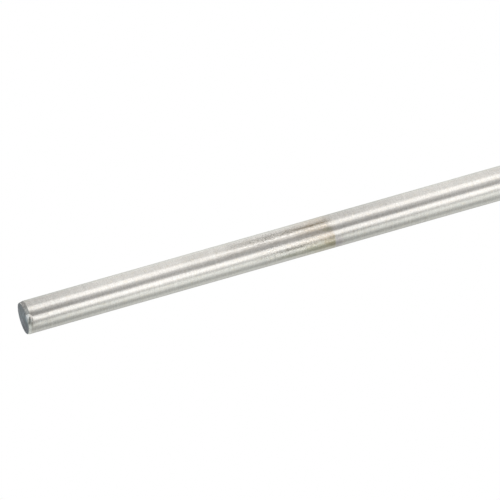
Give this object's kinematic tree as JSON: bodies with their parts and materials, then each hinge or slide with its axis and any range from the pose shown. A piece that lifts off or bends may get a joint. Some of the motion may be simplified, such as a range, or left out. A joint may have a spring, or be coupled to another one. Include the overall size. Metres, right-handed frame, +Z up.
{
  "type": "titanium rod",
  "caption": "Length of ground round titanium bar lying on its side, both ends bevelled, one of them dressed by hand.",
  "frame": {"origin": "on the ground under the middle of the lying bar", "axes": "+X along the bar from the hand-dressed end to the true end, +Y across the floor, +Z up"},
  "size_m": [0.3, 0.012, 0.012],
  "materials": {
    "ground_titanium": "titanium alloy, centreless ground round the bar, with heat and glue stains and worn ink"
  },
  "bodies": {
    "root": {"rod": "ground_titanium"}
  },
  "joints": []
}
